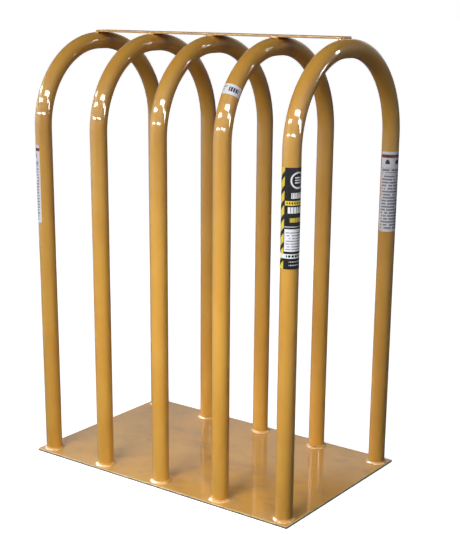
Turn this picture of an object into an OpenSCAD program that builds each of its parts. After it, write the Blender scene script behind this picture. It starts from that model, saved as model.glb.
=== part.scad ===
// Tyre inflation cage. Bent tube hoops stand in a row on a steel base plate, and a flat tie bar
// runs along their crowns. Every joint is a weld, so nothing moves.
// Millimetres, +Z up. X runs along the row of hoops and Y across it. The front is -Y.
// The origin is on the floor, in the middle of the base plate.

/* [Hoops] */
// Number of hoops
hoop_count = 5; // [3:1:7]
// Spacing of the hoops along the cage, centre to centre
hoop_pitch = 223; // [180:1:300]
// Spacing of the two legs of a hoop, centre to centre
leg_spacing = 530; // [430:1:700]
// Height of the crown's centre line above the base plate
crown_height = 1280; // [1150:5:1600]
// Straight run at the crown, between the two bends
crown_flat = 22; // [4:1:60]
// Outside diameter of the tube
tube_od = 50.8; // [42:0.1:63.5]
// Wall thickness of the tube
tube_wall = 3.05; // [2:0.05:5]

/* [Base plate] */
// Thickness of the base plate
plate_thickness = 6.35; // [4:0.05:12]
// How far the plate runs past the centre line of each end hoop
plate_end_margin = 36; // [34:1:80]
// How far the plate runs past the centre lines of the legs
plate_side_margin = 40; // [34:1:80]
// Radius of the plate's corners
plate_corner = 3; // [1:0.5:10]

/* [Tie bar] */
// Width of the tie bar
bar_width = 50; // [35:1:60]
// Thickness of the tie bar
bar_thickness = 6.35; // [4:0.05:12]
// How far each end of the bar stops short of the end hoop's centre line
bar_inset = 4.5; // [0:0.5:12]

/* [Welds] */
// Leg length of the fillet weld round each foot
foot_weld_leg = 7.5; // [4:0.5:8]
// How deep below the corner the rounded face of the foot weld is centred
foot_weld_depth = 6; // [2:0.5:12]
// Radius of the weld beads between the tie bar and the tubes
bar_weld_radius = 5.5; // [3:0.5:6]
// Length of each of those beads
bar_weld_length = 30; // [15:1:34]

/* [Labels] */
// Thickness of the labels
label_thickness = 0.3; // [0.1:0.05:0.5]
// Height of the product label
product_label_height = 267; // [100:1:300]
// Width of the product label, measured round the tube
product_label_width = 120; // [60:1:125]
// Height of its lower edge above the base plate
product_label_rise = 725; // [100:1:780]
// Way that its middle faces, in degrees from the front towards +X
product_label_turn = 78; // [-180:1:180]
// Height of the warning labels
warning_label_height = 237; // [100:1:300]
// Width of the warning labels, measured round the tube
warning_label_width = 102; // [60:1:125]
// Height of their lower edges above the base plate
warning_label_rise = 743; // [100:1:780]
// Way that the right warning label's middle faces, in degrees from the front towards +X
warning_label_turn_right = 80; // [-180:1:180]
// Way that the left warning label's middle faces
warning_label_turn_left = -104; // [-180:1:180]
// Length of the small identification label along the bend
id_label_length = 28; // [15:1:60]
// Width of the identification label, measured round the tube
id_label_width = 71; // [30:1:75]
// Place of its middle on the front bend, in degrees up from the top of the leg
id_label_angle = 33; // [15:1:75]
// Way that its middle faces, in degrees from the outside of the bend towards +X
id_label_turn = 27; // [-90:1:90]

/* [Hidden] */
hoops = [1 : hoop_count];

$fn = 96;
paint = "#D6963A";
weld_paint = "#C98A36";
black_vinyl = "#202022";
white_vinyl = "#ECECEA";

tube_r = tube_od / 2;
bend_radius = (leg_spacing - crown_flat) / 2;
bend_z = plate_thickness + crown_height - bend_radius;
bar_z = plate_thickness + crown_height + tube_r;
plate_length = (hoop_count - 1) * hoop_pitch + 2 * plate_end_margin;
plate_width = leg_spacing + 2 * plate_side_margin;
bar_length = (hoop_count - 1) * hoop_pitch - 2 * bar_inset;
front = -1;
rear = 1;

// Place of hoop i along X: the row is centred on the origin.
function hoop_x(i) = (i - (hoop_count + 1) / 2) * hoop_pitch;

// Angle that a width takes up when it is wrapped round the tube.
function wrap_angle(width) = width / tube_r * 180 / PI;

// ---- Base plate ----

module base_plate() {
    color(paint)
        translate([-plate_length / 2, -plate_width / 2, 0]) {
            translate([plate_corner, 0, 0])
                cube([plate_length - 2 * plate_corner, plate_width, plate_thickness]);
            translate([0, plate_corner, 0])
                cube([plate_length, plate_width - 2 * plate_corner, plate_thickness]);
            for (x = [plate_corner, plate_length - plate_corner])
                for (y = [plate_corner, plate_width - plate_corner])
                    translate([x, y, 0])
                        cylinder(r = plate_corner, h = plate_thickness);
        }
}

// ---- Hoops ----

// Places its children, drawn about Z with angle 0 on X, on a hoop's front or rear bend:
// angle 0 is the top of the leg and angle 90 is the crown.
module on_bend(side) {
    scale([1, side, 1])
        translate([0, crown_flat / 2, bend_z])
            rotate([90, 0, 90])
                children();
}

// Filled hoop of radius r whose legs start at height foot_z. The skin and the bore of the tube are
// both this shape.
module hoop_rod(r, foot_z) {
    for (side = [front, rear]) {
        translate([0, side * leg_spacing / 2, foot_z])
            cylinder(r = r, h = bend_z - foot_z);
        on_bend(side)
            rotate_extrude(angle = 90)
                translate([bend_radius, 0])
                    circle(r = r);
    }
    translate([0, -crown_flat / 2, bend_z + bend_radius])
        rotate([-90, 0, 0])
            cylinder(r = r, h = crown_flat);
}

module hoop(i) {
    bore_clearance = 1;
    color(paint)
        translate([hoop_x(i), 0, 0])
            difference() {
                hoop_rod(tube_r, plate_thickness);
                hoop_rod(tube_r - tube_wall, plate_thickness - bore_clearance);
            }
}

// ---- Tie bar ----

module tie_bar() {
    color(paint)
        translate([-bar_length / 2, -bar_width / 2, bar_z])
            cube([bar_length, bar_width, bar_thickness]);
}

// ---- Welds ----

// Ring of weld round the foot of a leg, with a slightly rounded face.
module foot_weld(i, side) {
    face_radius = norm([foot_weld_depth, foot_weld_leg + foot_weld_depth]);
    color(weld_paint)
        translate([hoop_x(i), side * leg_spacing / 2, plate_thickness])
            rotate_extrude()
                intersection() {
                    translate([tube_r - foot_weld_depth, -foot_weld_depth])
                        circle(r = face_radius);
                    translate([tube_r, 0])
                        square(2 * foot_weld_leg);
                }
}

// Beads along both edges of the tie bar, where it crosses the crown of a hoop at x.
module bar_edge_beads(x) {
    bead_start = max(x - bar_weld_length / 2, -bar_length / 2);
    bead_end = min(x + bar_weld_length / 2, bar_length / 2);
    difference() {
        for (side = [front, rear])
            translate([bead_start, side * bar_width / 2, bar_z])
                rotate([0, 90, 0])
                    cylinder(r = bar_weld_radius, h = bead_end - bead_start);
        translate([x - bar_weld_length, -bar_width / 2, bar_z - bar_width / 2])
            cube([2 * bar_weld_length, bar_width, bar_width]);
        translate([x, 0, 0])
            hoop_rod(tube_r, plate_thickness);
    }
}

// Bead across one end of the tie bar, on the straight top of an end hoop's crown.
module bar_end_bead(end) {
    bead_length = bar_width - 2 * bar_weld_radius;
    scale([end, 1, 1])
        difference() {
            translate([bar_length / 2, -bead_length / 2, bar_z])
                rotate([-90, 0, 0])
                    cylinder(r = bar_weld_radius, h = bead_length);
            translate([bar_length / 2 - bar_width, -bar_width / 2, bar_z - bar_width / 2])
                cube([bar_width, bar_width, bar_width]);
            translate([bar_length / 2 + bar_inset, -bar_width / 2, bar_z - tube_r])
                rotate([-90, 0, 0])
                    cylinder(r = tube_r, h = bar_width);
        }
}

module tie_bar_weld(i) {
    color(weld_paint) {
        bar_edge_beads(hoop_x(i));
        if (i == 1) bar_end_bead(-1);
        if (i == hoop_count) bar_end_bead(1);
    }
}

// ---- Labels ----

// Label wrapped round a straight leg, with its middle facing turn degrees from the front.
module leg_label(width, height, turn) {
    span = wrap_angle(width);
    rotate([0, 0, turn - 90 - span / 2])
        rotate_extrude(angle = span)
            translate([tube_r, 0])
                square([label_thickness, height]);
}

module product_label() {
    color(black_vinyl)
        translate([hoop_x(hoop_count), front * leg_spacing / 2, plate_thickness + product_label_rise])
            leg_label(product_label_width, product_label_height, product_label_turn);
}

module warning_label_right() {
    color(white_vinyl)
        translate([hoop_x(hoop_count), rear * leg_spacing / 2, plate_thickness + warning_label_rise])
            leg_label(warning_label_width, warning_label_height, warning_label_turn_right);
}

module warning_label_left() {
    color(white_vinyl)
        translate([hoop_x(1), front * leg_spacing / 2, plate_thickness + warning_label_rise])
            leg_label(warning_label_width, warning_label_height, warning_label_turn_left);
}

// Small label on the outside of the front bend, on the last hoop but one.
module id_label() {
    half_span = wrap_angle(id_label_width) / 2;
    sweep = id_label_length / bend_radius * 180 / PI;
    reach = 2 * tube_r;
    color(white_vinyl)
        translate([hoop_x(hoop_count - 1), 0, 0])
            on_bend(front)
                rotate([0, 0, id_label_angle - sweep / 2])
                    rotate_extrude(angle = sweep)
                        translate([bend_radius, 0])
                            rotate(id_label_turn)
                                intersection() {
                                    difference() {
                                        circle(r = tube_r + label_thickness);
                                        circle(r = tube_r);
                                    }
                                    polygon([
                                        [0, 0],
                                        [reach * cos(half_span), -reach * sin(half_span)],
                                        [reach, -reach * sin(half_span)],
                                        [reach, reach * sin(half_span)],
                                        [reach * cos(half_span), reach * sin(half_span)]
                                    ]);
                                }
}

base_plate();
tie_bar();
for (i = hoops) {
    hoop(i);
    foot_weld(i, front);
    foot_weld(i, rear);
    tie_bar_weld(i);
}
product_label();
warning_label_left();
warning_label_right();
id_label();
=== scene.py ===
import math
import random

import bpy
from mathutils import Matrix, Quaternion, Vector


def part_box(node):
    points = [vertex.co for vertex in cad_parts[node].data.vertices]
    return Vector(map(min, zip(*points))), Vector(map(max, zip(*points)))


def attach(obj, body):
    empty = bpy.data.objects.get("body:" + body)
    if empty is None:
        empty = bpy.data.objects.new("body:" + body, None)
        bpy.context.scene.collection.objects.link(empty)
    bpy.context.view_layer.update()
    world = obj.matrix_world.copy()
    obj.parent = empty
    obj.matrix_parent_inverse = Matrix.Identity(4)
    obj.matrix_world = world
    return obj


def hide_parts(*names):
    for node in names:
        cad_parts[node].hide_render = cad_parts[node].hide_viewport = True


# Tyre inflation cage: five bent tube hoops on a steel base plate, with a flat tie bar along their
# crowns. Metres, +Z up. X runs along the row of hoops and the front is -Y. Angles round the cage and
# round a tube are measured from the front towards +X.
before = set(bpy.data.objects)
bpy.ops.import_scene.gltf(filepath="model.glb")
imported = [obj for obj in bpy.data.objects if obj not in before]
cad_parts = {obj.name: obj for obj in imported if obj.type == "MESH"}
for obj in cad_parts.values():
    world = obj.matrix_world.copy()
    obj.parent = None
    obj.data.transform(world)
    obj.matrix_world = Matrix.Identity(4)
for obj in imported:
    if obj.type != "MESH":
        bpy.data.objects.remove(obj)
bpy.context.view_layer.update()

MM = 0.001

# ---- Sizes that the frame's boxes don't give ----

CROWN_FLAT = 22 * MM
TUBE_WALL = 3.05 * MM
WELD_RADIUS = 5.5 * MM
WELD_RUN = 30 * MM
LABEL_CORNER = 7 * MM
ID_LABEL_CORNER = 2 * MM
PLATE_CORNER = 3 * MM
PLATE_EDGE = 0.9 * MM
BAR_EDGE = 1.3 * MM
SMALLEST_CORNER = 0.2 * MM
# Flat strip of faces inside each rounded edge of a slab, which keeps the shading of its face flat
EDGE_LAND = 1.5 * MM
PRODUCT_LABEL_TURN = 78
PRODUCT_LABEL_WIDTH = 120 * MM
WARNING_LABEL_WIDTH = 102 * MM
WARNING_LABEL_TURN_RIGHT = 80
WARNING_LABEL_TURN_LEFT = -104
ID_LABEL_LENGTH = 28 * MM
ID_LABEL_WIDTH = 71 * MM
ID_LABEL_ANGLE = 33
ID_LABEL_TURN = 27
LABEL_THICKNESS = 0.3 * MM
LABEL_LIFT = 0.03 * MM

# ---- Shape of the weld beads ----

WELD_POOL = 6.2 * MM
# How unequal the pools are, and the height about which they rise and fall
POOL_SIZES = (0.75, 1.25)
POOL_MEAN = 0.9
# How far a pool's middle lags behind its edges
FOOT_WELD_TRAIL = 3.0 * MM
BEAD_TRAIL = 2.5 * MM
FOOT_WELD_SWELL = 0.75 * MM
FOOT_WELD_BURY = 0.5 * MM
# Foot weld's profile: its share of the leg and height of the CAD's, and how hollow its middle is
FOOT_WELD_FILL = 0.95
FOOT_WELD_HOLLOW = 0.16
# Bead's radius as shares of WELD_RADIUS: at its ends, added along its run, and added by the pools
BEAD_END = 0.12
BEAD_BODY = 0.82
BEAD_RIPPLE = 0.06
# Depth of the side that is sunk in the joint, as a share of the bead's radius
BEAD_SUNK = 0.15
# Place along the pools where a bead starts, which keeps the place positive as the pools trail
BEAD_START = 0.05

# ---- Detail of the meshes ----

TUBE_SIDES = 72
BEND_STEPS = 48
LEG_STEPS = 14
EDGE_STEPS = 4
WELD_PROFILE_STEPS = 9
FOOT_WELD_STEPS = 300
BAR_WELD_STEPS = 60
LABEL_COLUMNS = 72
LABEL_ROWS = 24
CORNER_STEPS = 8
SHARP_ANGLE = 40

# ---- Texture of the finishes, as the scales of their noise ----

DRIFT = 4.0
MOTTLE = 38.0
GRAIN = 420.0
PEEL = 170.0
TUBE_WAVES = 60.0
PLATE_WAVES = 9.0
WELD_PITS = 380.0
WELD_GRIME = 90.0
WELD_FLECKS = 130.0
PLATE_DUST = 14.0
PLATE_GRIME = (10.0, 16.0, 10.0)
EDGE_CHIPS = 130.0
BAR_DUST = 16.0

# ---- Colours, linear ----

AMBER = (0.75, 0.395, 0.058)
AMBER_DEEP = (0.71, 0.352, 0.046)
AMBER_PALE = (0.78, 0.46, 0.13)
# Pale cream: painted highlight on the plate's top edges and painted glints on the welds, as well as
# worn and thin paint
PALE_WEAR_AND_HIGHLIGHT = (0.86, 0.72, 0.42)
DUST = (0.36, 0.27, 0.17)
GRIME = (0.34, 0.15, 0.05)
RUBBER = (0.045, 0.038, 0.032)
# Dark brown: painted shade along the bottom of the plate's sides, as well as bare steel where the paint
# is scraped off
BARE_STEEL_AND_SHADE = (0.09, 0.045, 0.018)
INK_BLACK = (0.010, 0.010, 0.011)
INK_YELLOW = (0.90, 0.68, 0.06)
INK_WHITE = (0.92, 0.92, 0.96)
INK_GREY = (0.30, 0.31, 0.42)
INK_SLATE = (0.05, 0.06, 0.10)
INK_RED = (0.30, 0.035, 0.035)


def direction(azimuth, elevation):
    """Unit vector that points azimuth degrees from the front towards +X, and elevation degrees up."""
    a = math.radians(azimuth)
    e = math.radians(elevation)
    return Vector((math.sin(a) * math.cos(e), -math.cos(a) * math.cos(e), math.sin(e)))


# ---- Camera ----

CAMERA_AZIMUTH = 36.394
CAMERA_ELEVATION = 15.733
CAMERA_ROLL = 0.341
CAMERA_DISTANCE = 3.602
CAMERA_TARGET = Vector((0.0158, 0.0116, 0.4424))
CAMERA_LENS = 78.132
CAMERA_SHIFT_X = 0.0185
CAMERA_SHIFT_Y = 0.1052


def make_camera():
    data = bpy.data.cameras.new("camera")
    data.lens = CAMERA_LENS
    data.shift_x = CAMERA_SHIFT_X
    data.shift_y = CAMERA_SHIFT_Y
    camera = bpy.data.objects.new("camera", data)
    bpy.context.scene.collection.objects.link(camera)
    back = direction(CAMERA_AZIMUTH, CAMERA_ELEVATION)
    roll = Quaternion((0, 0, 1), math.radians(CAMERA_ROLL))
    camera.rotation_mode = "QUATERNION"
    camera.rotation_quaternion = (-back).to_track_quat("-Z", "Y") @ roll
    camera.location = CAMERA_TARGET + CAMERA_DISTANCE * back
    bpy.context.scene.camera = camera


# ---- Material nodes ----


class Shader:
    """A material's nodes, with short ways to add the ones that the finishes here are made of."""

    def __init__(self, tree):
        self.tree = tree

    def add(self, kind, inputs=None, **settings):
        node = self.tree.nodes.new("ShaderNode" + kind)
        for name, value in settings.items():
            setattr(node, name, value)
        for name, value in (inputs or {}).items():
            self.feed(node.inputs[name], value)
        return node

    def feed(self, socket, value):
        if isinstance(value, bpy.types.NodeSocket):
            self.tree.links.new(value, socket)
        elif isinstance(value, tuple) and len(value) == 3 and socket.type == "RGBA":
            socket.default_value = (*value, 1)
        else:
            socket.default_value = value

    def maths(self, operation, a, b=0.0, c=0.0):
        return self.add("Math", {0: a, 1: b, 2: c}, operation=operation).outputs[0]

    def product(self, *values):
        result = values[0]
        for value in values[1:]:
            result = self.maths("MULTIPLY", result, value)
        return result

    def position(self, attribute=None):
        """Place on the piece: its own coordinates, or the attribute that holds straightened ones."""
        if attribute:
            return self.add("Attribute", attribute_name=attribute).outputs["Vector"]
        return self.add("TexCoord").outputs["Object"]

    def split(self, vector):
        return self.add("SeparateXYZ", {0: vector}).outputs

    def stretched(self, vector, scale):
        return self.add("VectorMath", {0: vector, 1: scale}, operation="MULTIPLY").outputs[0]

    def noise(self, vector, scale, detail=2.0, roughness=0.5):
        inputs = {"Vector": vector, "Scale": scale, "Detail": detail, "Roughness": roughness}
        return self.add("TexNoise", inputs).outputs[0]

    def ramp(self, value, low, high, to_low=0.0, to_high=1.0):
        """Value taken smoothly from the range low to high into the range to_low to to_high."""
        names = ("From Min", "From Max", "To Min", "To Max")
        inputs = dict(zip(names, (low, high, to_low, to_high)))
        node = self.add("MapRange", {"Value": value, **inputs}, interpolation_type="SMOOTHSTEP")
        return node.outputs[0]

    def mix(self, factor, a, b):
        node = self.add("Mix", data_type="RGBA")
        self.feed(node.inputs["Factor"], factor)
        self.feed(node.inputs[6], a)
        self.feed(node.inputs[7], b)
        return node.outputs[2]

    def bump(self, height, distance, strength=1.0, normal=None):
        node = self.add("Bump", {"Height": height, "Distance": distance, "Strength": strength})
        if normal:
            self.feed(node.inputs["Normal"], normal)
        return node.outputs[0]


def new_material(name):
    material = bpy.data.materials.new(name)
    material.use_nodes = True
    material.node_tree.nodes.clear()
    return material, Shader(material.node_tree)


def finish_material(shader, **inputs):
    surface = shader.add("BsdfPrincipled")
    for name, value in inputs.items():
        shader.feed(surface.inputs[name.replace("_", " ")], value)
    shader.add("OutputMaterial", {"Surface": surface.outputs[0]})


def enamel(shader, where):
    """Amber enamel: its colour, roughness and skin, with broad drift, mottling and fine grain."""
    drift = shader.noise(where, DRIFT, 3.0)
    mottle = shader.noise(where, MOTTLE, 4.0, 0.6)
    grain = shader.noise(where, GRAIN, 2.0)
    colour = shader.mix(shader.ramp(drift, 0.35, 0.65), AMBER, AMBER_DEEP)
    colour = shader.mix(shader.ramp(mottle, 0.48, 0.72, 0.0, 0.10), colour, AMBER_PALE)
    colour = shader.mix(shader.ramp(grain, 0.45, 0.75, 0.0, 0.2), colour, AMBER_DEEP)
    rough = shader.ramp(mottle, 0.3, 0.7, 0.44, 0.52)
    skin = shader.bump(shader.noise(where, PEEL, 2.0, 0.55), 0.30 * MM, 0.35)
    skin = shader.bump(grain, 0.08 * MM, 0.3, skin)
    return colour, rough, skin


def scratches(shader, where, along, across, width):
    """Mask of thin marks: noise drawn out along one direction, and kept only near its middle value."""
    drawn = shader.noise(shader.stretched(where, (across, across, along)), 1.0, 3.0, 0.6)
    line = shader.maths("ABSOLUTE", shader.maths("SUBTRACT", drawn, 0.5))
    return shader.ramp(line, 0.0, width, 1.0, 0.0)


def tube_paint():
    """Enamel of the tubes, under a clear gloss, with thin scratches here and there."""
    material, shader = new_material("tube_paint")
    where = shader.position("straight")
    colour, rough, skin = enamel(shader, where)
    patches = shader.ramp(shader.noise(where, 9.0, 3.0), 0.56, 0.70)
    marks = shader.product(scratches(shader, where, 30.0, 240.0, 0.010), patches)
    colour = shader.mix(shader.product(marks, 0.45), colour, AMBER_PALE)
    rough = shader.maths("MULTIPLY_ADD", marks, 0.2, rough)
    gloss = shader.bump(shader.noise(where, TUBE_WAVES, 2.0), 0.25 * MM, 0.35)
    finish_material(
        shader,
        Base_Color=colour,
        Roughness=rough,
        Normal=skin,
        Specular_IOR_Level=0.25,
        Coat_Weight=1.0,
        Coat_Roughness=0.04,
        Coat_Normal=gloss,
    )
    return material


def weld_paint():
    """Enamel of the welds: pitted, grimy in places, and flecked pale, the flecks being painted glints
    as well as thin paint.
    """
    material, shader = new_material("weld_paint")
    where = shader.position()
    colour, rough, skin = enamel(shader, where)
    pits = shader.noise(where, WELD_PITS, 3.0, 0.6)
    skin = shader.bump(pits, 0.5 * MM, 0.7, skin)
    grime = shader.ramp(shader.noise(where, WELD_GRIME, 3.0), 0.55, 0.72, 0.0, 0.45)
    colour = shader.mix(grime, colour, DUST)
    # Pale flecks: painted glints, and also paint worn thin over the bead
    thin_and_glints = shader.ramp(shader.noise(where, WELD_FLECKS, 3.0, 0.6), 0.54, 0.64, 0.0, 0.25)
    colour = shader.mix(thin_and_glints, colour, PALE_WEAR_AND_HIGHLIGHT)
    finish_material(
        shader,
        Base_Color=colour,
        Roughness=0.5,
        Normal=skin,
        Coat_Weight=1.0,
        Coat_Roughness=0.07,
        Coat_Normal=skin,
    )
    return material


def plate_paint(half_length, half_width):
    """Enamel of the base plate, dusty and scuffed where a tyre is rolled in, pale along its top edges
    as painted highlight and worn paint, and dark at the bottom of its sides as painted shade and bare
    steel.
    """
    material, shader = new_material("plate_paint")
    where = shader.position()
    x, y, z = shader.split(where)
    colour, rough, skin = enamel(shader, where)
    dust = shader.noise(where, PLATE_DUST, 5.0, 0.65)
    colour = shader.mix(shader.ramp(dust, 0.48, 0.72, 0.0, 0.3), colour, DUST)
    grime = shader.noise(shader.stretched(where, PLATE_GRIME), 1.0, 5.0, 0.6)
    colour = shader.mix(shader.ramp(grime, 0.48, 0.72, 0.0, 0.28), colour, GRIME)
    lane = shader.ramp(shader.maths("ABSOLUTE", y), 0.17, 0.10)
    scuffs = scratches(shader, shader.stretched(where, (0.0, 1.0, 0.0)), 1.0, 260.0, 0.03)
    scuffs = shader.product(scuffs, lane, shader.ramp(shader.noise(where, 12.0, 4.0), 0.6, 0.7))
    colour = shader.mix(shader.product(scuffs, 0.06), colour, RUBBER)
    to_end = shader.maths("SUBTRACT", half_length, shader.maths("ABSOLUTE", x))
    to_side = shader.maths("SUBTRACT", half_width, shader.maths("ABSOLUTE", y))
    edge = shader.maths("MINIMUM", to_end, to_side)
    chips = shader.noise(where, EDGE_CHIPS, 4.0, 0.7)
    # Pale band along the plate's edges: a painted highlight on the lit top edge, and also worn paint
    rubbed_and_highlit = shader.maths("MULTIPLY_ADD", edge, 120.0, shader.product(chips, 0.5))
    colour = shader.mix(shader.ramp(rubbed_and_highlit, 0.60, 0.48, 0.0, 0.8), colour, PALE_WEAR_AND_HIGHLIGHT)
    # Dark band at the bottom of the sides: painted shade under the plate, and also bare steel where the
    # paint is scraped off
    low = shader.maths("MULTIPLY_ADD", z, 90.0, shader.product(chips, 0.5))
    bare_and_shaded = shader.ramp(low, 0.70, 0.58)
    colour = shader.mix(bare_and_shaded, colour, BARE_STEEL_AND_SHADE)
    rough = shader.maths("MULTIPLY_ADD", bare_and_shaded, 0.3, 0.45)
    gloss = shader.bump(shader.noise(where, PLATE_WAVES, 1.0), 0.5 * MM, 0.25)
    film = shader.ramp(dust, 0.45, 0.75, 0.03, 0.16)
    finish_material(
        shader,
        Base_Color=colour,
        Roughness=rough,
        Normal=skin,
        Coat_Weight=shader.maths("SUBTRACT", 1.0, bare_and_shaded),
        Coat_Roughness=film,
        Coat_Normal=gloss,
    )
    return material


def bar_paint():
    """Enamel of the tie bar, dusty and worn along its length."""
    material, shader = new_material("bar_paint")
    where = shader.position()
    colour, rough, skin = enamel(shader, where)
    marks = scratches(shader, shader.stretched(where, (0.12, 1.0, 1.0)), 150.0, 150.0, 0.03)
    marks = shader.product(marks, shader.ramp(shader.noise(where, 11.0, 3.0), 0.5, 0.66))
    colour = shader.mix(shader.product(marks, 0.5), colour, AMBER_PALE)
    dust = shader.ramp(shader.noise(where, BAR_DUST, 4.0), 0.45, 0.7, 0.0, 0.45)
    colour = shader.mix(dust, colour, DUST)
    finish_material(
        shader, Base_Color=colour, Roughness=rough, Normal=skin, Coat_Weight=0.6, Coat_Roughness=0.12
    )
    return material


# ---- Print on the labels, in millimetres from a label's lower left corner ----


class Print:
    """Blocks of ink laid over each other on a label."""

    def __init__(self, name, ground):
        self.material, self.shader = new_material(name)
        place = self.shader.position("print")
        self.x, self.y, _ = self.shader.split(place)
        self.place = place
        self.colour = self.shader.mix(0.0, ground, ground)

    def block(self, left, right, low, high):
        """Mask of a rectangle."""
        middle_x, half_x = (left + right) / 2, (right - left) / 2
        middle_y, half_y = (low + high) / 2, (high - low) / 2
        inside_x = self.shader.maths("COMPARE", self.x, middle_x, half_x)
        inside_y = self.shader.maths("COMPARE", self.y, middle_y, half_y)
        return self.shader.product(inside_x, inside_y)

    def distance(self, x, y):
        """Distance from a point of the label."""
        across = self.shader.maths("SUBTRACT", self.x, x)
        up = self.shader.maths("SUBTRACT", self.y, y)
        squares = self.shader.maths("MULTIPLY_ADD", up, up, self.shader.product(across, across))
        return self.shader.maths("SQRT", squares)

    def disc(self, x, y, radius):
        return self.shader.maths("LESS_THAN", self.distance(x, y), radius)

    def ring(self, x, y, radius, width):
        return self.shader.maths("COMPARE", self.distance(x, y), radius, width / 2)

    def stripes(self, pitch, share):
        """Mask of stripes that rise to the right at 45 degrees."""
        slope = self.shader.maths("SUBTRACT", self.x, self.y)
        turns = self.shader.maths("FRACT", self.shader.product(slope, 1 / pitch))
        return self.shader.maths("LESS_THAN", turns, share)

    def bars(self, pitch, share):
        """Mask of upright bars, which stand for the letters of a heading."""
        turns = self.shader.maths("FRACT", self.shader.product(self.x, 1 / pitch))
        return self.shader.maths("LESS_THAN", turns, share)

    def rows(self, pitch, share, word):
        """Mask of rows broken into dashes of uneven length, which stand for lines of small print."""
        level = self.shader.product(self.y, 1 / pitch)
        line = self.shader.maths("LESS_THAN", self.shader.maths("FRACT", level), share)
        row = self.shader.maths("FLOOR", level)
        inputs = {"X": self.shader.product(self.x, 1 / word), "Y": self.shader.product(row, 7.3)}
        point = self.shader.add("CombineXYZ", inputs).outputs[0]
        gaps = self.shader.maths("GREATER_THAN", self.shader.noise(point, 1.0, 0.0), 0.38)
        return self.shader.product(line, gaps)

    def ink(self, colour, *masks):
        """Lays a colour where all the masks meet."""
        self.colour = self.shader.mix(self.shader.product(*masks), self.colour, colour)

    def done(self, roughness):
        """Vinyl with a faint grain in its ink and a slightly uneven face."""
        shader = self.shader
        fade = shader.ramp(shader.noise(self.place, 0.06, 3.0), 0.4, 0.75, 0.0, 0.04)
        colour = shader.mix(fade, self.colour, INK_GREY)
        wrinkle = shader.noise(self.place, 0.05, 2.0)
        fine = shader.noise(self.place, 0.9, 2.0)
        skin = shader.bump(wrinkle, 0.5 * MM, 0.25)
        skin = shader.bump(fine, 0.03 * MM, 0.3, skin)
        rough = shader.ramp(fine, 0.3, 0.7, roughness - 0.04, roughness + 0.06)
        finish_material(
            shader, Base_Color=colour, Roughness=rough, Normal=skin, Specular_IOR_Level=0.25
        )
        return self.material


def product_print(width, height):
    """Black label: hazard stripes down both sides, an emblem, two headings and a panel of print."""
    p = Print("product_label", INK_BLACK)
    border = 22.0
    for left, right in ((0.0, border), (width - border, width)):
        p.ink(INK_YELLOW, p.block(left, right, 0.0, height), p.stripes(37.0, 0.62))
    middle = width / 2
    p.ink(INK_WHITE, p.ring(middle, 234.0, 20.0, 4.5))
    for y in (228.0, 234.5, 241.0):
        p.ink(INK_WHITE, p.block(middle - 10, middle + 10, y - 1.6, y + 1.6))
    panel = (24.0, 96.0)
    p.ink(INK_WHITE, p.block(41.0, 79.0, 187.0, 202.0), p.bars(6.4, 0.82))
    p.ink(INK_YELLOW, p.block(*panel, 169.0, 181.0))
    p.ink(INK_BLACK, p.block(29.0, 91.0, 172.5, 177.5), p.bars(7.0, 0.55))
    p.ink(INK_WHITE, p.block(32.0, 88.0, 148.5, 165.0), p.bars(8.1, 0.84))
    p.ink(INK_YELLOW, p.block(38.0, 82.0, 125.0, 136.5), p.bars(5.0, 0.72))
    p.ink(INK_WHITE, p.block(*panel, 112.2, 113.8))
    p.ink(INK_WHITE, p.block(*panel, 47.5, 107.0))
    p.ink(INK_GREY, p.block(28.0, 92.0, 51.0, 103.5), p.rows(7.4, 0.34, 5.0))
    p.ink(INK_WHITE, p.block(0.0, width, 29.0, 41.0))
    p.ink(INK_BLACK, p.block(30.0, 90.0, 32.0, 38.0), p.bars(9.0, 0.7))
    for y in (20.0, 11.0):
        p.ink(INK_WHITE, p.block(38.0, 82.0, y - 1.3, y + 1.3), p.bars(4.6, 0.6))
    return p.done(0.42)


def warning_print(width):
    """White label: a red heading, three plain figures and rows of small print."""
    p = Print("warning_label", INK_WHITE)
    p.ink(INK_RED, p.block(0.0, width, 219.0, 228.5))
    p.ink(INK_SLATE, p.block(8.0, width, 221.0, 226.5), p.bars(15.0, 0.6))
    for x in (22.0, 52.0, 82.0):
        p.ink(INK_SLATE, p.block(x - 6.5, x + 6.5, 201.0, 208.0))
        p.ink(INK_SLATE, p.disc(x, 209.0, 5.0))
    for low, high, share in ((7.0, 172.0, 0.55), (175.0, 190.0, 0.72)):
        p.ink(INK_GREY, p.block(6.0, width - 6, low, high), p.rows(9.0, share, 9.0))
    return p.done(0.36)


def id_print(width, height):
    """Small white label: a block of bars, and one red and one grey line."""
    p = Print("id_label", INK_WHITE)
    words = p.block(width * 0.42, width * 0.82, height * 0.30, height * 0.72)
    p.ink(INK_SLATE, words, p.bars(7.0, 0.78))
    p.ink(INK_RED, p.block(5.0, 24.0, height - 8.5, height - 6.5))
    p.ink(INK_GREY, p.block(6.0, 18.0, height * 0.42, height * 0.48))
    return p.done(0.36)


# ---- Meshes ----

# Everything but the plate, which the strip lamps would show in as large white patches
glint_pieces = bpy.data.collections.new("glint_pieces")


def new_piece(name, points, faces, material, attribute=None, values=None):
    """Makes a shown piece of the cage that stands for the CAD node of the same name."""
    mesh = bpy.data.meshes.new(name)
    mesh.from_pydata(points, [], faces)
    mesh.shade_smooth()
    mesh.set_sharp_from_angle(angle=math.radians(SHARP_ANGLE))
    mesh.materials.append(material)
    if attribute:
        layer = mesh.attributes.new(attribute, "FLOAT_VECTOR", "POINT")
        layer.data.foreach_set("vector", [c for value in values for c in value])
    piece = bpy.data.objects.new("show_" + name, mesh)
    bpy.context.scene.collection.objects.link(piece)
    if name != "base_plate":
        glint_pieces.objects.link(piece)
    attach(piece, "root")
    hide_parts(name)
    return piece


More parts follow.
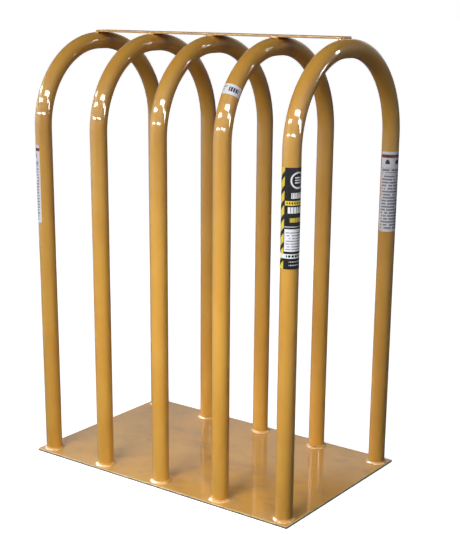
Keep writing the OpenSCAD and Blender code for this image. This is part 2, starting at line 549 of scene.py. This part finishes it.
def ring_faces(rings, sides, closed=False):
    """Quads between neighbouring rings of a skin. A closed skin joins its last ring to its first."""
    faces = []
    for ring in range(rings if closed else rings - 1):
        here = ring * sides
        there = (ring + 1) % rings * sides
        for side in range(sides):
            after = (side + 1) % sides
            faces.append((here + side, here + after, there + after, there + side))
    return faces


class Hoop:
    """One hoop's centre line, measured along it from the front foot."""

    def __init__(self, node, number):
        low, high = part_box(node)
        self.number = number
        self.x = (low.x + high.x) / 2
        self.tube = (high.x - low.x) / 2
        self.leg_y = high.y - self.tube
        self.foot_z = low.z
        self.bend = self.leg_y - CROWN_FLAT / 2
        self.bend_z = high.z - self.tube - self.bend
        self.leg = self.bend_z - self.foot_z
        self.arc = self.bend * math.pi / 2
        self.length = 2 * (self.leg + self.arc) + CROWN_FLAT

    def station(self, s):
        """Point of the centre line at length s, and the direction there that points out of the cage."""
        if s > self.length / 2:
            point, outward = self.station(self.length - s)
            return Vector((point.x, -point.y, point.z)), Vector((0, -outward.y, outward.z))
        if s <= self.leg:
            return Vector((self.x, -self.leg_y, self.foot_z + s)), Vector((0, -1, 0))
        turn = min((s - self.leg) / self.bend, math.pi / 2)
        outward = Vector((0, -math.cos(turn), math.sin(turn)))
        flat = max(0.0, s - self.leg - self.arc)
        start = Vector((self.x, flat - CROWN_FLAT / 2, self.bend_z))
        return start + self.bend * outward, outward

    def surface(self, s, angle, radius):
        """Point at radius from the centre line, angle radians from outward towards +X."""
        point, outward = self.station(s)
        return point + radius * (math.cos(angle) * outward + math.sin(angle) * Vector((1, 0, 0)))

    def lengths(self, leg_steps, bend_steps):
        """Lengths of the rings of a skin: few on the straight runs and many on the bends."""
        leg = [self.leg * i / leg_steps for i in range(leg_steps)]
        bend = [self.leg + self.arc * i / bend_steps for i in range(bend_steps + 1)]
        half = leg + bend
        return half + [self.length - s for s in reversed(half)]


def make_hoop(hoop, material):
    """Tube with its bore, open at the feet as it is under the weld. Its paint is laid out along the
    straightened tube, on a stretch of the noise of its own."""
    points, places = [], []
    offset = Vector((0, 0, 3.1 * hoop.number))
    angles = [2 * math.pi * i / TUBE_SIDES for i in range(TUBE_SIDES)]
    outside = hoop.lengths(LEG_STEPS, BEND_STEPS)
    inside = list(reversed(hoop.lengths(2, BEND_STEPS // 2)))
    skins = [(s, hoop.tube) for s in outside] + [(s, hoop.tube - TUBE_WALL) for s in inside]
    for s, radius in skins:
        for angle in angles:
            points.append(hoop.surface(s, angle, radius))
            places.append(Vector((radius * math.cos(angle), radius * math.sin(angle), s)) + offset)
    faces = ring_faces(len(skins), TUBE_SIDES, closed=True)
    new_piece(f"hoop_{hoop.number}", points, faces, material, "straight", places)


def slab_outline(low, high, corner, inset):
    """Points of a rectangle with round corners, drawn in from the box low to high by inset."""
    radius = max(corner - inset, SMALLEST_CORNER)
    points = []
    for quarter, (sx, sy) in enumerate(((1, 1), (-1, 1), (-1, -1), (1, -1))):
        centre_x = (high.x if sx > 0 else low.x) - sx * (inset + radius)
        centre_y = (high.y if sy > 0 else low.y) - sy * (inset + radius)
        for i in range(CORNER_STEPS + 1):
            a = math.pi / 2 * (quarter + i / CORNER_STEPS)
            points.append((centre_x + radius * math.cos(a), centre_y + radius * math.sin(a)))
    return points


def make_slab(node, material, corner, edge):
    """Flat plate or bar that fills the node's box, with rounded edges."""
    low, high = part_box(node)
    rings = []
    for side in (-1, 1):
        face_z = low.z if side < 0 else high.z
        for i in range(EDGE_STEPS + 1):
            a = math.pi / 2 * i / EDGE_STEPS
            if side > 0:
                a = math.pi / 2 - a
            rings.append((edge * (1 - math.sin(a)), face_z - side * edge * (1 - math.cos(a))))
    flat = edge + EDGE_LAND
    rings = [(flat, low.z)] + rings + [(flat, high.z)]
    points = []
    for inset, z in rings:
        points += [Vector((x, y, z)) for x, y in slab_outline(low, high, corner, inset)]
    sides = len(points) // len(rings)
    faces = ring_faces(len(rings), sides)
    faces.append(tuple(reversed(range(sides))))
    faces.append(tuple(range(len(points) - sides, len(points))))
    new_piece(node, points, faces, material)


def weld_height(t, seed):
    """Height of a bead along its run, t metres in: overlapping solidified pools, none quite alike."""
    index = math.floor(t / WELD_POOL)
    share = t / WELD_POOL - index
    unevenness = random.Random(1000 * seed + index).uniform(*POOL_SIZES)
    return unevenness * math.sin(math.pi * share ** 0.8)


def make_foot_weld(node, hoop, material, seed):
    """Fillet of weld right round a foot, laid in overlapping pools."""
    low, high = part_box(node)
    leg = (high.x - low.x) / 2 - hoop.tube
    height = high.z - low.z
    centre = Vector(((low.x + high.x) / 2, (low.y + high.y) / 2, low.z))
    run = 2 * math.pi * (hoop.tube + leg / 2)
    points = []
    for step in range(FOOT_WELD_STEPS):
        a = 2 * math.pi * step / FOOT_WELD_STEPS
        outward = Vector((math.sin(a), -math.cos(a), 0))
        profile = []
        for i in range(WELD_PROFILE_STEPS):
            b = math.pi / 2 * i / (WELD_PROFILE_STEPS - 1)
            along = (a * run / (2 * math.pi) + FOOT_WELD_TRAIL * math.sin(2 * b)) % run
            lift = FOOT_WELD_SWELL * (weld_height(along, seed) - POOL_MEAN)
            waist = 1 - FOOT_WELD_HOLLOW * math.sin(2 * b)
            out = math.cos(b) * leg * waist * FOOT_WELD_FILL + lift * math.cos(b)
            up = math.sin(b) * height * waist * FOOT_WELD_FILL + lift * math.sin(b)
            profile.append((hoop.tube + out, up))
        profile[0] = (profile[0][0], -FOOT_WELD_BURY)
        profile.append((hoop.tube - FOOT_WELD_BURY, profile[-1][1]))
        profile.append((hoop.tube - FOOT_WELD_BURY, -FOOT_WELD_BURY))
        points += [centre + r * outward + Vector((0, 0, z)) for r, z in profile]
    sides = WELD_PROFILE_STEPS + 2
    faces = ring_faces(FOOT_WELD_STEPS, sides, closed=True)
    new_piece(node, points, faces, material)


def bead(start, end, outward, seed):
    """Points and faces of one straight bead, half sunk in the joint that it closes."""
    up = Vector((0, 0, 1))
    along = end - start
    points = []
    sides = 2 * WELD_PROFILE_STEPS
    for step in range(BAR_WELD_STEPS + 1):
        share = step / BAR_WELD_STEPS
        taper = max(0.0, 1 - abs(2 * share - 1) ** 5) ** 0.5
        centre = start + share * along
        for i in range(sides):
            b = 2 * math.pi * i / sides
            facing = max(0.0, math.cos(b))
            trail = BEAD_TRAIL * math.sin(b)
            height = weld_height(share * along.length + trail + BEAD_START, seed)
            lift = BEAD_RIPPLE * (height - POOL_MEAN)
            radius = WELD_RADIUS * (BEAD_END + taper * (BEAD_BODY + lift * facing))
            depth = math.cos(b) if facing else BEAD_SUNK * math.cos(b)
            points.append(centre + radius * (depth * outward + math.sin(b) * up))
    faces = ring_faces(BAR_WELD_STEPS + 1, sides)
    faces.append(tuple(reversed(range(sides))))
    faces.append(tuple(range(len(points) - sides, len(points))))
    return points, faces


def make_bar_weld(node, hoop, material, last):
    """Beads along both edges of the tie bar, and one across its end on the first and last hoop."""
    low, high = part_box("tie_bar")
    start_x = max(hoop.x - WELD_RUN / 2, low.x)
    end_x = min(hoop.x + WELD_RUN / 2, high.x)
    runs = []
    for y, outward in ((low.y, Vector((0, -1, 0))), (high.y, Vector((0, 1, 0)))):
        runs.append((Vector((start_x, y, low.z)), Vector((end_x, y, low.z)), outward))
    if hoop.number in (1, last):
        side = -1 if hoop.number == 1 else 1
        x = low.x if side < 0 else high.x
        reach = (high.y - low.y) / 2 - WELD_RADIUS
        runs.append((Vector((x, -reach, low.z)), Vector((x, reach, low.z)), Vector((side, 0, 0))))
    points, faces = [], []
    for i, run in enumerate(runs):
        more, around = bead(*run, 10 * hoop.number + i)
        faces += [tuple(len(points) + corner for corner in face) for face in around]
        points += more
    new_piece(node, points, faces, material)


def make_label(node, hoop, centre_s, turn, width, height, material, corner=LABEL_CORNER):
    """Vinyl sheet wrapped round a tube, with rounded corners and a thin edge."""
    outer = hoop.tube + LABEL_THICKNESS
    inner = hoop.tube + LABEL_LIFT
    spread = width / hoop.tube
    points, prints = [], []
    for radius in (outer, inner):
        for row in range(LABEL_ROWS + 1):
            for column in range(LABEL_COLUMNS + 1):
                share = (1 - math.cos(math.pi * column / LABEL_COLUMNS)) / 2
                x = width * share
                in_corner = max(0.0, corner - min(x, width - x))
                cut = corner - math.sqrt(corner ** 2 - in_corner ** 2)
                y = cut + (height - 2 * cut) * row / LABEL_ROWS
                s = centre_s - height / 2 + y
                if centre_s > hoop.length / 2:
                    s = centre_s + height / 2 - y
                angle = math.radians(turn) + spread * (share - 0.5)
                if centre_s > hoop.length / 2:
                    angle = math.pi - angle
                points.append(hoop.surface(s, angle, radius))
                prints.append((x / MM, y / MM, 0.0))
    across = LABEL_COLUMNS + 1
    sheet = across * (LABEL_ROWS + 1)
    faces = []
    for row in range(LABEL_ROWS):
        for column in range(LABEL_COLUMNS):
            a = row * across + column
            b = a + across
            faces.append((a, a + 1, b + 1, b))
            faces.append((sheet + a, sheet + b, sheet + b + 1, sheet + a + 1))
    rim = list(range(across))
    rim += [across * row + LABEL_COLUMNS for row in range(1, LABEL_ROWS + 1)]
    rim += [across * LABEL_ROWS + column for column in reversed(range(LABEL_COLUMNS))]
    rim += [across * row for row in reversed(range(1, LABEL_ROWS))]
    for a, b in zip(rim, rim[1:] + rim[:1]):
        faces.append((a, sheet + a, sheet + b, b))
    new_piece(node, points, faces, material, "print", prints)


def make_labels(hoops):
    last = hoops[-1]
    size = {}
    for node in ("product_label", "warning_label_right", "warning_label_left"):
        low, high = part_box(node)
        size[node] = (high.z - low.z, (high.z + low.z) / 2 - last.foot_z)
    height, middle = size["product_label"]
    width = PRODUCT_LABEL_WIDTH
    ink = product_print(width / MM, height / MM)
    make_label(
        "product_label", last, middle, PRODUCT_LABEL_TURN, width, height, ink
    )
    width = WARNING_LABEL_WIDTH
    ink = warning_print(width / MM)
    for node, hoop, turn in (
        ("warning_label_right", last, WARNING_LABEL_TURN_RIGHT),
        ("warning_label_left", hoops[0], WARNING_LABEL_TURN_LEFT),
    ):
        height, middle = size[node]
        if hoop is last:
            middle = last.length - middle
        make_label(node, hoop, middle, turn, width, height, ink)
    hoop = hoops[-2]
    middle = hoop.leg + hoop.bend * math.radians(ID_LABEL_ANGLE)
    ink = id_print(ID_LABEL_WIDTH / MM, ID_LABEL_LENGTH / MM)
    make_label(
        "id_label",
        hoop,
        middle,
        ID_LABEL_TURN,
        ID_LABEL_WIDTH,
        ID_LABEL_LENGTH,
        ink,
        ID_LABEL_CORNER,
    )


# ---- Studio ----

FLOOR_SIZE = 120.0
FLOOR_FADE = (1.5, 3.5)
FLOOR_GLOW = 0.92
FLOOR_GREY = (0.5, 0.5, 0.5)
FLOOR_DROP = 0.1 * MM
ROOM_LIGHT = 0.02
ROOM_SHEEN = 0.07
# Soft bands of the room that show in the paint, left of the legs, below those and, last, behind the
# cage, where only the plate mirrors it: azimuth, half width inside and outside the soft ends, lowest
# and highest elevation, softness of those edges, and radiance.
ROOM_BANDS = (
    (-60, 30, 65, -6, 8, 8, 1.1),
    (-90, 20, 70, -60, -14, 8, 0.30),
    (216, 30, 60, 5, 22.5, 1.5, 0.6),
)
STRIP_DISTANCE = 6.0
STRIP_AIM = 0.7
STRIP_RADIANCE = 40.0


def make_lamp(
    name,
    azimuth,
    elevation,
    distance,
    width,
    height,
    radiance,
    aim=0.6,
    roll=0,
    lights=True,
    shows=True,
    spread=180,
):
    """Soft rectangular lamp that faces a point on the cage's axis, at height aim.
    It may light the paint, show in it as a reflection, or both."""
    data = bpy.data.lights.new(name, "AREA")
    data.shape = "RECTANGLE"
    data.size = width
    data.size_y = height
    data.spread = math.radians(spread)
    data.energy = radiance * math.pi * width * height
    lamp = bpy.data.objects.new(name, data)
    bpy.context.scene.collection.objects.link(lamp)
    back = direction(azimuth, elevation)
    turn = Quaternion((0, 0, 1), math.radians(roll))
    lamp.location = Vector((0, 0, aim)) + distance * back
    lamp.rotation_mode = "QUATERNION"
    lamp.rotation_quaternion = (-back).to_track_quat("-Z", "Y") @ turn
    lamp.visible_camera = False
    lamp.visible_diffuse = lights
    lamp.visible_glossy = shows
    return lamp


def make_strip(name, azimuth, elevation, width, height, roll):
    """Distant lamp that only shows in the gloss of the tubes and their welds, as small glints."""
    lamp = make_lamp(
        name,
        azimuth,
        elevation,
        STRIP_DISTANCE,
        width,
        height,
        STRIP_RADIANCE,
        aim=STRIP_AIM,
        roll=roll,
        lights=False,
    )
    lamp.light_linking.receiver_collection = glint_pieces


def make_lamps():
    # Azimuth, elevation, distance, width, height and radiance of each lamp
    make_lamp("front_near", 2, 10, 1.65, 1.5, 0.9, 0.75, aim=0.7, shows=False)
    make_lamp("front_high", 0, 38, 4.8, 2.8, 1.0, 12.5, shows=False)
    make_lamp("plate_lamp", 10, 35, 2.2, 0.8, 0.5, 1.4, aim=0.05, shows=False, spread=55)
    make_lamp("plate_right", 40, 50, 2.6, 0.8, 0.5, 0.7, aim=0.05, shows=False, spread=40)
    make_lamp("right_high", 58, 30, 3.7, 2.4, 1.0, 0.45, shows=False)
    make_lamp("right_top", 75, 20, 3.7, 1.6, 1.0, 0.2, aim=1.6, shows=False, spread=40)
    make_lamp("left_fill", -72, 9, 2.7, 1.9, 1.8, 0.3, aim=0.85, shows=False)
    make_lamp("rear_fill", 216, 12, 3.0, 2.4, 1.8, 0.9, shows=False)
    # Azimuth, elevation, width, height and roll of each strip
    make_strip("top_strip", 45, 32, 5.5, 0.55, -17)
    make_strip("left_strip", -28, 27, 4.5, 0.38, 9)
    make_strip("right_strip", 92, 11, 5.0, 0.30, -21)
    make_strip("low_strip_left", -24, 14, 4.5, 0.20, 4)
    make_strip("low_strip_right", 38, 13, 4.5, 0.20, -7)
    make_strip("side_strip_high", 137, 22, 0.25, 1.4, 12)
    make_strip("side_strip_low", 136, 8, 0.30, 0.6, 30)
    # Shows in the welds round the front feet
    make_lamp("weld_lamp", -66, 33, 5.0, 0.6, 0.3, 30.0, aim=0.02, lights=False, spread=22)


def make_room():
    """White to the camera, dim to the paint's light, and a little brighter in its sheen."""
    world = bpy.data.worlds.new("room")
    bpy.context.scene.world = world
    world.use_nodes = True
    world.node_tree.nodes.clear()
    shader = Shader(world.node_tree)
    look = shader.add("TexCoord").outputs["Generated"]
    sheen = ROOM_SHEEN
    rise = shader.split(look)[2]
    for azimuth, inner, outer, low, high, soft, radiance in ROOM_BANDS:
        towards = tuple(direction(azimuth, 0))
        inputs = {0: look, 1: towards}
        dot = shader.add("VectorMath", inputs, operation="DOT_PRODUCT").outputs["Value"]
        ends = [math.cos(math.radians(a)) for a in (outer, inner)]
        above = [math.sin(math.radians(a)) for a in (low - soft, low)]
        below = [math.sin(math.radians(a)) for a in (high + soft, high)]
        edges = (shader.ramp(dot, *ends), shader.ramp(rise, *above), shader.ramp(rise, *below))
        band = shader.product(*edges)
        sheen = shader.maths("MULTIPLY_ADD", band, radiance, sheen)
    path = shader.add("LightPath").outputs
    glow = shader.add("Mix", {0: path["Is Glossy Ray"], 2: ROOM_LIGHT, 3: sheen}).outputs[0]
    strength = shader.add("Mix", {0: path["Is Camera Ray"], 2: glow, 3: 1.0}).outputs[0]
    surface = shader.add("Background", {"Color": (1, 1, 1), "Strength": strength})
    shader.add("OutputWorld", {"Surface": surface.outputs[0]})


def make_floor():
    """Plain pale floor, which takes the cage's shadow, sends no light back up and fades to white."""
    material, shader = new_material("floor")
    away = shader.add("VectorMath", {0: shader.position()}, operation="LENGTH").outputs["Value"]
    glow = shader.add("Emission", {"Color": (1, 1, 1)})
    shader.feed(glow.inputs["Strength"], shader.ramp(away, *FLOOR_FADE, FLOOR_GLOW, 1.0))
    matt = shader.add("BsdfDiffuse", {"Color": FLOOR_GREY})
    both = shader.add("AddShader", {0: glow.outputs[0], 1: matt.outputs[0]})
    shader.add("OutputMaterial", {"Surface": both.outputs[0]})
    half = FLOOR_SIZE / 2
    mesh = bpy.data.meshes.new("floor")
    corners = [(-half, -half, 0), (half, -half, 0), (half, half, 0), (-half, half, 0)]
    mesh.from_pydata(corners, [], [(0, 1, 2, 3)])
    mesh.materials.append(material)
    floor = bpy.data.objects.new("floor", mesh)
    floor.location.z = -FLOOR_DROP
    bpy.context.scene.collection.objects.link(floor)
    floor.visible_diffuse = False
    floor.visible_glossy = False
    floor.visible_shadow = False


def make_studio():
    make_room()
    make_floor()
    make_lamps()
    bpy.context.scene.view_settings.view_transform = "Standard"


def make_cage():
    names = [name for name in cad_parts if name.startswith("hoop_")]
    hoops = [Hoop(f"hoop_{i}", i) for i in range(1, len(names) + 1)]
    tube = tube_paint()
    weld = weld_paint()
    _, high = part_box("base_plate")
    plate = plate_paint(high.x, high.y)
    make_slab("base_plate", plate, PLATE_CORNER, PLATE_EDGE)
    make_slab("tie_bar", bar_paint(), BAR_EDGE, BAR_EDGE)
    for hoop in hoops:
        make_hoop(hoop, tube)
        make_foot_weld(f"foot_weld_front_{hoop.number}", hoop, weld, hoop.number)
        make_foot_weld(f"foot_weld_rear_{hoop.number}", hoop, weld, 20 + hoop.number)
        make_bar_weld(f"tie_bar_weld_{hoop.number}", hoop, weld, len(hoops))
    make_labels(hoops)


make_camera()
make_studio()
make_cage()
